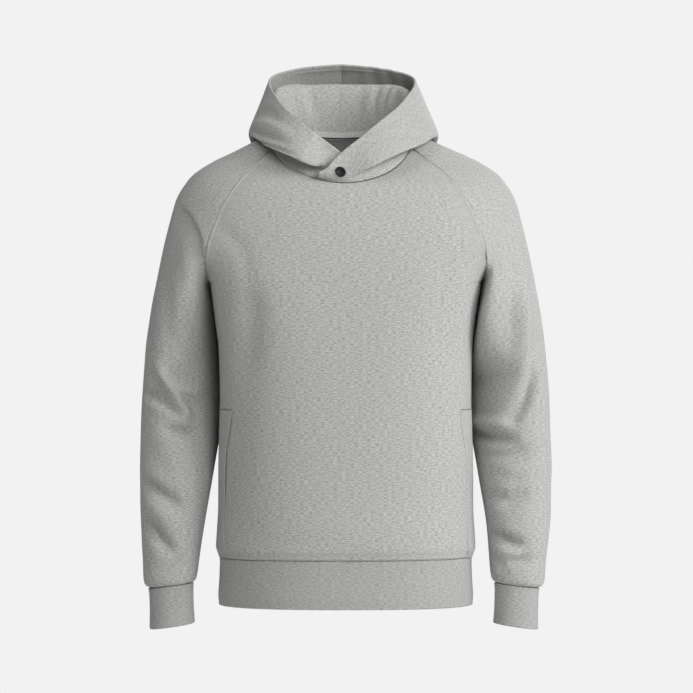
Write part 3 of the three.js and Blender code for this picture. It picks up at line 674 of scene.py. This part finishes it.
class Shading:
    """A new material's nodes, with short ways to add them."""

    def __init__(self, name):
        self.material = bpy.data.materials.new(name)
        self.material.use_nodes = True
        self.nodes = self.material.node_tree.nodes
        self.links = self.material.node_tree.links
        self.shader = self.nodes["Principled BSDF"]

    def add(self, kind, inputs, **settings):
        node = self.nodes.new(kind)
        for key, value in settings.items():
            setattr(node, key, value)
        for key, value in inputs.items():
            if isinstance(value, bpy.types.NodeSocket):
                self.links.new(value, node.inputs[key])
            else:
                node.inputs[key].default_value = value
        return node.outputs[0]

    def fix(self, **values):
        for key, value in values.items():
            self.shader.inputs[key.replace("_", " ")].default_value = value

    def sum_of(self, parts):
        total = None
        for share, value in parts:
            part = self.add("ShaderNodeMath", {0: value, 1: share}, operation="MULTIPLY")
            if total is not None:
                part = self.add("ShaderNodeMath", {0: total, 1: part}, operation="ADD")
            total = part
        return total

    def colour(self, tone, dark, light, low, high):
        ramp = self.nodes.new("ShaderNodeValToRGB")
        for element, place, shade in zip(ramp.color_ramp.elements, (low, high), (dark, light)):
            element.position = place
            element.color = shade
        self.links.new(tone, ramp.inputs["Fac"])
        self.links.new(ramp.outputs["Color"], self.shader.inputs["Base Color"])

    def bump(self, height, strength, distance):
        relief = self.add("ShaderNodeBump", {"Height": height, "Strength": strength, "Distance": distance})
        self.links.new(relief, self.shader.inputs["Normal"])


# The knit's fibres: share of the tone, and noise cells to a metre along and across the courses.
FIBRES = ((0.62, 165, 720), (0.38, 420, 1700))
TONE_LOW, TONE_HIGH = 0.34, 0.66
NAP_STRENGTH, NAP_HEIGHT = 0.25, 0.001
# Scale of the ribs' wave: one rib in about 16 mm.
RIB_SCALE = 19.23


def fleece(name, dark, light, ribs=0.0):
    """Heather grey knit: short pale and dark fibres along the courses, with a soft nap."""
    s = Shading(name)
    s.fix(Roughness=0.93, Specular_IOR_Level=0.15, Sheen_Weight=0.1, Sheen_Roughness=0.6)
    uv = s.add("ShaderNodeUVMap", {}, uv_map="cloth")

    def fibres(along, across):
        at = s.add("ShaderNodeMapping", {"Vector": uv, "Scale": (along, across, 1)})
        inputs = {"Vector": at, "Scale": 1, "Detail": 2, "Roughness": 0.6}
        return s.add("ShaderNodeTexNoise", inputs, noise_dimensions="2D")

    tone = s.sum_of([(share, fibres(along, across)) for share, along, across in FIBRES])
    s.colour(tone, srgb(*dark), srgb(*light), TONE_LOW, TONE_HIGH)
    height = tone
    if ribs:
        at = s.add("ShaderNodeMapping", {"Vector": uv, "Scale": (1, 0, 1)})
        wave = s.add("ShaderNodeTexWave", {"Vector": at, "Scale": RIB_SCALE}, wave_profile="SIN")
        height = s.sum_of([(1.0, tone), (ribs, wave)])
    s.bump(height, NAP_STRENGTH, NAP_HEIGHT)
    return s.material


# The cloths, each with its darkest and lightest tone.
knit = fleece("fleece_knit", (137, 137, 135), (187, 187, 185))
band_knit = fleece("fleece_band", (138, 138, 136), (173, 173, 171), ribs=0.25)
tape_knit = fleece("fleece_tape", (172, 172, 170), (206, 206, 204))
# Thread for the pockets' stitched bars: a real stitch, but its darkness is painted shade standing in for the
# shadow under each pocket's top edge.
stitch_shade_thread = fleece("stitch_shade_thread", (96, 96, 95), (126, 126, 124))


# Body panels.
BODY_SHARES = np.linspace(-1, 1, 127)
BODY_ROWS = steps((0, 1, 62), (1, 2, 34), (2, 3, 122))
# Shares and rows over which folds fade out at the seams, and the rise of the unevenness.
BODY_SIDE_FADE, BODY_HEM_FADE, BODY_NECK_FADE = 0.12, 0.06, 0.25
BODY_UNEVEN, BODY_UNEVEN_CELLS = 0.5, (12, 16)
# Folds: face, width, rise, then pairs of x and z along the line.
FRONT_FOLDS = [
    (-1, 24, -7, -142, -215, -140, -270, -150, -340),
    (-1, 28, -3, -152, -390, -160, -450, -166, -520),
    (-1, 20, 2.2, -160, -215, -162, -280, -168, -350),
    (-1, 24, -1.6, 150, -215, 140, -275, 146, -330),
    (-1, 30, 1.4, -60, -560, 40, -572, 120, -566),
    (-1, 22, -1.6, -168, -560, -110, -590, -20, -592),
    (-1, 14, -1.8, -186, -118, -150, -160, -138, -205),
    (-1, 14, -1.5, 186, -118, 148, -165, 134, -210),
]
BACK_FOLDS = [
    (1, 26, -4, -150, -150, -96, -330),
    (1, 26, -4, 150, -150, 102, -320),
    (1, 24, 3, -70, -520, 76, -534),
    (1, 22, -2.4, -120, -556, 0, -572, 96, -560),
    (1, 20, 2, 60, -200, 86, -280, 84, -360),
    (1, 22, -1.6, -40, -240, -62, -330, -60, -400),
    (1, 20, 1.8, -150, -480, -60, -500, 10, -496),
]


def body_panel(facing):
    flip = facing == "front"
    face, u, row = fine_grid(body_surface(facing), BODY_SHARES, BODY_ROWS, draw_back=SEWN_CLOSE)
    normals = normals_of(face, flip=flip)
    fade = ease((1 - np.abs(u)) / BODY_SIDE_FADE) * ease((3 - row) / BODY_HEM_FADE)
    fade = fade * ease(row / BODY_NECK_FADE)
    rise = seen_lines(face, normals, FRONT_FOLDS if flip else BACK_FOLDS, 1, soft_fold) * fade
    rise += BODY_UNEVEN * soft_noise(rise.shape, BODY_UNEVEN_CELLS) * fade
    rise += seam_relief(face, left=RAGLAN_ON_BODY, right=RAGLAN_ON_BODY, start=NECK_SEAM, end=HEM_SEAM)
    face = face + normals * rise[..., None]
    uv = np.stack([run_length(face, 0, face.shape[0] // 2), run_length(face, 1, face.shape[1] // 2)], -1)
    return shell(facing, face, BODY_CLOTH, knit, uv, normals_of(face, flip=flip), flip=flip)


front = body_panel("front")
back = body_panel("back")

# Sleeves and cuffs.
SLEEVE_SHARES = np.linspace(0, 1, 115)
SLEEVE_ROWS = steps((0, 1, 56), (1, 2, 30), (2, 3, 146))
# Folds as on the body, and tucks, which step down on their line's left.
LEFT_FOLDS = [
    (-1, 15, 4, -238, -142, -226, -216, -220, -285),
    (-1, 13, -3, -268, -180, -262, -240, -262, -300),
    (-1, 10, 9, -276, -328, -256, -366, -237, -400),
    (-1, 10, 6, -250, -358, -232, -366, -214, -366),
    (-1, 8, -7, -264, -421, -245, -423, -224, -424),
    (-1, 20, -3, -296, -442, -276, -470, -262, -490),
    (-1, 13, -8, -300, -500, -268, -520, -245, -532),
    (-1, 14, 3, -296, -530, -268, -548, -250, -566),
    (-1, 12, -8, -298, -556, -276, -580, -255, -600),
    (-1, 10, -4, -286, -632, -262, -624, -235, -614),
    (1, 17, 7, -296, -392, -216, -446),
    (1, 15, -6, -288, -450, -222, -496),
    (1, 14, 4, -292, -520, -236, -548),
    (1, 14, -6, -292, -582, -244, -606),
    (1, 16, -4, -232, -150, -226, -240),
]
LEFT_TUCKS = [
    (-1, 26, -6, -207, -176, -208, -150, -212, -135, -226, -107, -249, -86),
    (-1, 22, -11, -306, -366, -290, -382, -262, -397, -238, -408),
    (-1, 24, -5, -270, -332, -259, -352, -240, -380, -219, -410),
]
RIGHT_FOLDS = [
    (-1, 12, -9, 287, -262, 284, -308, 277, -345, 263, -378, 247, -402),
    (-1, 10, 6, 180, -410, 206, -412, 238, -413),
    (-1, 11, -9, 180, -431, 210, -434, 246, -437),
    (-1, 12, -6, 200, -460, 240, -458, 276, -452),
    (-1, 15, 4, 226, -478, 262, -480, 290, -470),
    (-1, 14, -7, 206, -520, 240, -526, 270, -514),
    (-1, 11, -9, 214, -576, 240, -586, 262, -592),
    (-1, 12, 3, 224, -600, 262, -604),
    (-1, 10, -7, 239, -616, 279, -611),
    (-1, 9, -3, 222, -613, 239, -630),
    (-1, 9, -2.5, 214, -122, 236, -100),
    (1, 17, 7, 290, -372, 214, -430),
    (1, 15, -6, 286, -434, 226, -480),
    (1, 14, 4, 290, -520, 236, -552),
    (1, 14, -6, 292, -596, 246, -616),
    (1, 16, -4, 232, -150, 226, -240),
]
RIGHT_TUCKS = [
    (-1, 24, -4, 246, -92, 226, -112, 212, -140, 207, -205),
    (-1, 15, -3, 292, -386, 262, -404, 232, -410),
]
FOLD_DEPTH = 1.35
# Shares and rows over which each kind of relief fades out at the sleeve's seams.
FOLD_SIDE_FADE, TUCK_SIDE_FADE, UNEVEN_SIDE_FADE = 0.05, 0.03, 0.14
SLEEVE_CUFF_FADE, SLEEVE_NECK_FADE = 0.04, 0.3
SLEEVE_UNEVEN, SLEEVE_UNEVEN_CELLS = 0.45, (10, 26)
# The courses run level round the arm, and lean above a height to follow the shoulder.
LEAN, LEAN_FROM_Z, LEAN_OVER_Z, LEAN_ABOUT_X = 1.5, -240, 170, 200
# The right forearm comes inward below a height.
INWARD, INWARD_FROM_Z, INWARD_OVER_Z = 5, -540, 100


def drawn_in(face):
    """The right forearm hangs a little closer to the body than the left one."""
    moved = face.copy()
    moved[..., 0] -= INWARD * ease((INWARD_FROM_Z - face[..., 2]) / INWARD_OVER_Z)
    return moved


def sleeve_panel(is_left):
    surface = sleeve_surface(not is_left)
    face, u, row = fine_grid(surface, SLEEVE_SHARES, SLEEVE_ROWS, draw_back=SEWN_CLOSE)
    normals = normals_of(face, flip=True)
    edge = np.minimum(u, 1 - u)
    down = ease((3 - row) / SLEEVE_CUFF_FADE) * ease(row / SLEEVE_NECK_FADE)
    mirror = -1 if is_left else 1
    folds, tucks = (LEFT_FOLDS, LEFT_TUCKS) if is_left else (RIGHT_FOLDS, RIGHT_TUCKS)
    fold_rise = FOLD_DEPTH * seen_lines(face, normals, folds, mirror, soft_fold)
    tuck_rise = FOLD_DEPTH * seen_lines(face, normals, tucks, mirror, tucked_fold)
    rise = fold_rise * ease(edge / FOLD_SIDE_FADE) * down
    rise += tuck_rise * ease(edge / TUCK_SIDE_FADE) * down
    rise += SLEEVE_UNEVEN * soft_noise(rise.shape, SLEEVE_UNEVEN_CELLS) * ease(edge / UNEVEN_SIDE_FADE) * down
    rise += seam_relief(face, left=RAGLAN_ON_SLEEVE, right=RAGLAN_ON_SLEEVE, start=NECK_SEAM, end=CUFF_SEAM)
    face = face + normals * rise[..., None]
    x, z = face[..., 0], face[..., 2]
    lean = LEAN * ease((z - LEAN_FROM_Z) / LEAN_OVER_Z)
    uv = np.stack([
        run_length(face, 0, face.shape[0] // 2),
        (-z + lean * (x - LEAN_ABOUT_X)) / np.sqrt(1 + lean * lean),
    ], -1)
    face = face if is_left else drawn_in(face)
    node = "sleeve_left" if is_left else "sleeve_right"
    return shell(node, face, BODY_CLOTH, knit, uv, normals_of(face, flip=True), flip=True, mirror=is_left)


BAND_UNEVEN, BAND_UNEVEN_CELLS = 0.25, (1, 4)
CUFF_LEVELS = np.linspace(CUFF_SEAM_Z, CUFF_END_Z, 20)
HEM_SHARES = np.linspace(0, 1, 261)
HEM_LEVELS = np.linspace(HEM_SEAM_Z, HEM_END_Z, 22)


def band(node, surface, shares, levels, is_left=False, is_drawn_in=False):
    """A doubled band, closed round, with both its edges turned."""
    draw_back = BAND_CLOTH / 2 + SEAM_GAP / 2
    face, _, _ = fine_grid(surface, shares[:-1], levels, closed=True, draw_back=draw_back)
    face = drawn_in(face) if is_drawn_in else face
    normals = normals_of(face, closed=True, flip=True)
    rise = BAND_UNEVEN * np.tile(soft_noise((1, face.shape[1]), BAND_UNEVEN_CELLS), (len(face), 1))
    face = face + normals * rise[..., None]
    around = run_length(np.concatenate([face, face[:1]]), 0, 0)[:-1]
    uv = np.stack([around, -face[..., 2]], -1)
    return shell(node, face, BAND_CLOTH, band_knit, uv, normals, closed=True, flip=True,
                 mirror=is_left, round_edges=("start", "end"))


def hem_surface(share, z):
    return torso_point(share * 2 * np.pi, z)


sleeve_left = sleeve_panel(True)
sleeve_right = sleeve_panel(False)
cuff_left = band("cuff_left", sleeve_point, SLEEVE_SHARES, CUFF_LEVELS, is_left=True)
cuff_right = band("cuff_right", sleeve_point, SLEEVE_SHARES, CUFF_LEVELS, is_drawn_in=True)
hem_band = band("hem_band", hem_surface, HEM_SHARES, HEM_LEVELS)

# Hood halves.
HOOD_SHARES = np.linspace(0, 1, 125)
HOOD_UPS = steps((0, HOOD_ROLL, 30), (HOOD_ROLL, HOOD_FOLD, 34), (HOOD_FOLD, 1, 36))
# Folds by turn round the neck and share up the cloth: width, rise, then pairs of both.
LEFT_HOOD_FOLDS = [
    (5, -5, 88, 0.68, 66, 0.74, 48, 0.77),
    (6, 4.5, 94, 0.75, 72, 0.82, 52, 0.85),
    (5, -3.5, 74, 0.6, 54, 0.66, 40, 0.68),
    (6, -3.5, 100, 0.82, 84, 0.88, 68, 0.9),
    (7, -4, 149, 0.06, 150, 0.14, 152, 0.22),
    (6, 3, 160, 0.08, 158, 0.16, 161, 0.22),
]
RIGHT_HOOD_FOLDS = [
    (4.5, -3, 158, 0.08, 160, 0.15, 160, 0.22),
    (3.5, 1.8, 152, 0.08, 153, 0.14, 153, 0.2),
    (4, -2.6, 148, 0.08, 149, 0.15, 149, 0.22),
    (4, -3, 138, 0.08, 139, 0.15, 139, 0.22),
    (2.5, -2, 167, 0.84, 168, 0.92, 168, 1),
    (2.5, -2.4, 158, 0.82, 158, 0.92, 159, 1),
    (2.5, 1.8, 154, 0.84, 154, 0.94, 154, 1),
    (2.5, -1.8, 150, 0.84, 150, 0.94, 151, 1),
    (4, -2, 70, 0.7, 62, 0.78, 52, 0.82),
]
# A share of 1 up the cloth counts as this many degrees of turn, where a fold's width is measured.
TURN_PER_UP = 130
# Relief fades out at the middle seam, at the front and at the foot.
HOOD_SEAM_FADE, HOOD_FOOT_FADE = 0.05, 0.08
HOOD_FOLDS_FROM, HOOD_FOLDS_OVER = 24, 16
HOOD_UNEVEN, HOOD_UNEVEN_CELLS = 0.35, (14, 8)


def hood_half(is_left):
    face, share, up = fine_grid(hood_surface(is_left), HOOD_SHARES, HOOD_UPS, draw_back=SEWN_CLOSE)
    turn = mix(HOOD_START, 180, share)

    def outward(face):
        n = normals_of(face)
        n[-1, :, 0] = 0
        return unit(n)

    place = np.stack([turn, up * TURN_PER_UP], -1)
    rise = np.zeros(turn.shape)
    for width, height, *line in LEFT_HOOD_FOLDS if is_left else RIGHT_HOOD_FOLDS:
        pairs = np.array(line).reshape(-1, 2) * np.array([1, TURN_PER_UP])
        away, along, side = to_line(place, pairs)
        rise += soft_fold(away, along, side, width, height)
    rise += HOOD_UNEVEN * soft_noise(turn.shape, HOOD_UNEVEN_CELLS)
    rise *= ease((1 - share) / HOOD_SEAM_FADE) * ease((turn - HOOD_FOLDS_FROM) / HOOD_FOLDS_OVER)
    rise *= ease(up / HOOD_FOOT_FADE)
    rise += seam_relief(face, right=HOOD_SEAM, start=HOOD_SEAM, end=TURNED_EDGE)
    face = face + outward(face) * rise[..., None]
    uv = np.stack([run_length(face, 0, 0), run_length(face, 1, 0)], -1)
    if not is_left:
        uv = np.where((up > HOOD_FOLD)[..., None], uv[..., ::-1], uv)
    node = "hood_left" if is_left else "hood_right"
    return shell(node, face, HOOD_CLOTH, knit, uv, outward(face), mirror=is_left,
                 round_edges=("end", "left"))


hood_right = hood_half(False)
hood_left = hood_half(True)

# Tape inside the back of the neck: its turns round the neck, and its share up the hood's cloth.
TAPE_TURNS = np.linspace(108, 252, 90)
TAPE_UPS = np.linspace(0, 0.026, 4)


def tape_surface(turn, up):
    p = hood_surface(False)(round_of(np.where(turn > 180, 360 - turn, turn)), up)
    p[..., 0] *= np.where(turn > 180, -1, 1)
    return p


def neck_tape():
    face, _, _ = fine_grid(tape_surface, TAPE_TURNS, TAPE_UPS)
    normals = normals_of(face)
    face = face - normals * (HOOD_CLOTH + SEAM_GAP)
    uv = np.stack([run_length(face, 0, 0), run_length(face, 1, 0)], -1)
    return shell("neck_tape", face, TAPE_CLOTH, tape_knit, uv, normals)


# Pocket facings, and the stitched bars across their tops, whose dark thread is painted shade under each
# pocket's top edge.
POCKET_TOP_Z, POCKET_TOP_X, POCKET_END_X = -393.5, 167, 180
POCKET_CURVED, POCKET_CURVED_TO = 0.6, 1 / 3
POCKET_PROUD = 0.8
POCKET_SHARES = np.linspace(0, 1, 24)
POCKET_LEVELS = np.linspace(POCKET_TOP_Z, HEM_SEAM_Z, 90)
BAR_RADIUS, BAR_SIDES = 1.0, 6
BAR_SHARES = np.linspace(0, 1, 14)


def pocket_surface(across, z):
    down = (POCKET_TOP_Z - z) / (POCKET_TOP_Z - HEM_SEAM_Z)
    curved = ease(down / POCKET_CURVED_TO)
    x = mix(POCKET_TOP_X, POCKET_END_X, curved * POCKET_CURVED + down * (1 - POCKET_CURVED))

    def short_of(share):
        return torso_point(share * np.pi / 2, z)[..., 0] - x

    start = bisect(short_of, np.zeros(z.shape), np.ones(z.shape))
    return torso_point(mix(start, 1, across) * np.pi / 2, z)


def pocket_facing(is_left):
    face, _, _ = fine_grid(pocket_surface, POCKET_SHARES, POCKET_LEVELS)
    normals = normals_of(face, flip=True)
    rise = POCKET_PROUD + seam_relief(face, left=TURNED_EDGE, start=TURNED_EDGE)
    face = face + normals * rise[..., None]
    uv = np.stack([run_length(face, 0, 0), -face[..., 2]], -1)
    node = "pocket_left" if is_left else "pocket_right"
    return shell(node, face, POCKET_CLOTH, knit, uv, normals, flip=True, mirror=is_left,
                 round_edges=("left", "start"))


def pocket_bar(is_left):
    """A close row of stitches across the pocket's top, as a thin raised bar with round ends; its dark colour
    is painted shade for the shadow under the pocket's top edge.
    """
    line = pocket_surface(BAR_SHARES, np.full(BAR_SHARES.shape, POCKET_TOP_Z + BAR_RADIUS))
    ahead = unit(np.gradient(line, axis=0))
    out = unit(np.cross(ahead, [0, 0, 1]))
    turn = np.linspace(0, 2 * np.pi, BAR_SIDES, endpoint=False)
    ring = np.cos(turn)[None, :, None] * out[:, None] + np.sin(turn)[None, :, None] * np.array([0, 0, 1])
    taper = BAR_RADIUS * np.sqrt(np.clip(1 - (2 * BAR_SHARES - 1) ** 8, 0.02, 1))
    points = (line[:, None] + ring * taper[:, None, None]).reshape(-1, 3)
    faces = ring_faces(len(points), BAR_SIDES)
    if is_left:
        points, faces = mirrored(points, faces)
    name = "pocket_left_bar" if is_left else "pocket_right_bar"
    link_mesh(name, slide(points), faces, points[:, [0, 2]], stitch_shade_thread)


pocket_bar(True)
pocket_bar(False)
tape = neck_tape()
pocket_left = pocket_facing(True)
pocket_right = pocket_facing(False)


# Press stud: a turned cap with a dished middle, and the plate inside, as rows of radius and height.
CAP_PROFILE = (
    (7.2, 0), (7.6, 0.72), (7.5, 1.3), (7.1, 1.8), (5.8, 1.8), (5.3, 1.55), (5, 1.3), (0, 1.3),
)
PLATE_PROFILE = ((6.2, 0), (6.6, 0.6), (6.6, 1.2), (0, 1.2))
# Rows of node, profile, whether it is on the half below, turn, share up the cloth, and lift.
STUD_PIECES = (
    ("snap_cap", CAP_PROFILE, False, 1, 0.67, 0.9),
    ("snap_plate", PLATE_PROFILE, True, 7, 0.5, -HOOD_CLOTH - 2.1),
)
STUD_SIDES = 64
MIDDLE_RADIUS = 0.01
SMALL_STEP = 1e-4


def stud_metal():
    s = Shading("stud_metal")
    s.fix(Metallic=0.7)
    at = s.add("ShaderNodeTexCoord", {})
    grain = s.add("ShaderNodeTexNoise", {"Vector": at, "Scale": 60, "Detail": 3})
    s.colour(grain, srgb(20, 20, 21), srgb(38, 38, 39), 0.3, 0.7)
    rough = s.add("ShaderNodeMapRange", {"Value": grain, "To Min": 0.42, "To Max": 0.6})
    s.links.new(rough, s.shader.inputs["Roughness"])
    s.bump(grain, 0.15, 0.0002)
    return s.material


def turned_piece(profile, surface, turn, up, lift):
    """A profile of radius and height turned about the cloth's normal at a place on the hood."""
    places = ((0, 0), (SMALL_STEP, 0), (0, SMALL_STEP))
    foot, across, along = (surface(np.array(round_of(turn) + du), np.array(up + dv)) for du, dv in places)
    out = unit(np.cross(across - foot, along - foot))
    side = unit(np.cross(out, [0, 0, 1]))
    angles = np.linspace(0, 2 * np.pi, STUD_SIDES, endpoint=False)[:, None]
    ring = np.cos(angles) * side + np.sin(angles) * np.cross(side, out)
    rows = [(0, profile[0][1]), *profile]
    points = np.concatenate([foot + out * (lift + h) + ring * max(r, MIDDLE_RADIUS) for r, h in rows])
    return points, ring_faces(len(points), STUD_SIDES, flip=True)


def press_stud():
    metal = stud_metal()
    for node, profile, is_under, turn, up, lift in STUD_PIECES:
        points, faces = turned_piece(profile, hood_surface(is_under), turn, up, lift)
        if is_under:
            points, faces = mirrored(points, faces)
        piece = link_mesh(node + "_turned", slide(points), faces, points[:, :2], metal)
        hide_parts(node)


press_stud()

# Floor, backdrop and light.
FLOOR_Z, FLOOR_SIZE = -1.45, 11
WORLD_STRENGTH = 0.14
LIGHTS_AIM = Vector((0, 0, -0.3))
# Lights: name, place, size and power.
LIGHTS = (
    ("right", (3.2, -1.8, 1.3), 2.0, 130),
    ("front_right", (1.6, -3.6, 1.6), 1.8, 72),
    ("above_left", (-1.5, -1.3, 2.2), 1.6, 28),
    ("back", (0.8, 3.8, 1.4), 2.5, 150),
)


def lay_floor():
    bpy.ops.mesh.primitive_plane_add(size=FLOOR_SIZE, location=(0, 0, FLOOR_Z))
    floor = bpy.context.object
    floor.name = "floor"
    pale = Shading("pale")
    pale.fix(Base_Color=srgb(235, 235, 235), Roughness=0.9)
    floor.data.materials.append(pale.material)


def surround():
    """A pale backdrop to look at, and a weaker even light from all round."""
    world = bpy.data.worlds.new("studio")
    world.use_nodes = True
    bpy.context.scene.world = world
    nodes = world.node_tree.nodes
    links = world.node_tree.links
    shown = nodes["Background"]
    shown.inputs["Color"].default_value = srgb(242, 242, 242)
    lit = nodes.new("ShaderNodeBackground")
    lit.inputs["Color"].default_value = (1, 1, 1, 1)
    lit.inputs["Strength"].default_value = WORLD_STRENGTH
    choose = nodes.new("ShaderNodeMixShader")
    path = nodes.new("ShaderNodeLightPath")
    links.new(path.outputs["Is Camera Ray"], choose.inputs[0])
    links.new(lit.outputs[0], choose.inputs[1])
    links.new(shown.outputs[0], choose.inputs[2])
    links.new(choose.outputs[0], nodes["World Output"].inputs["Surface"])


def hang_lights():
    for name, place, size, power in LIGHTS:
        data = bpy.data.lights.new(name, "AREA")
        data.size = size
        data.energy = power
        light = bpy.data.objects.new(name, data)
        light.location = place
        light.rotation_euler = (LIGHTS_AIM - Vector(place)).to_track_quat("-Z", "Y").to_euler()
        bpy.context.scene.collection.objects.link(light)


lay_floor()
surround()
hang_lights()
bpy.context.scene.view_settings.view_transform = "Standard"
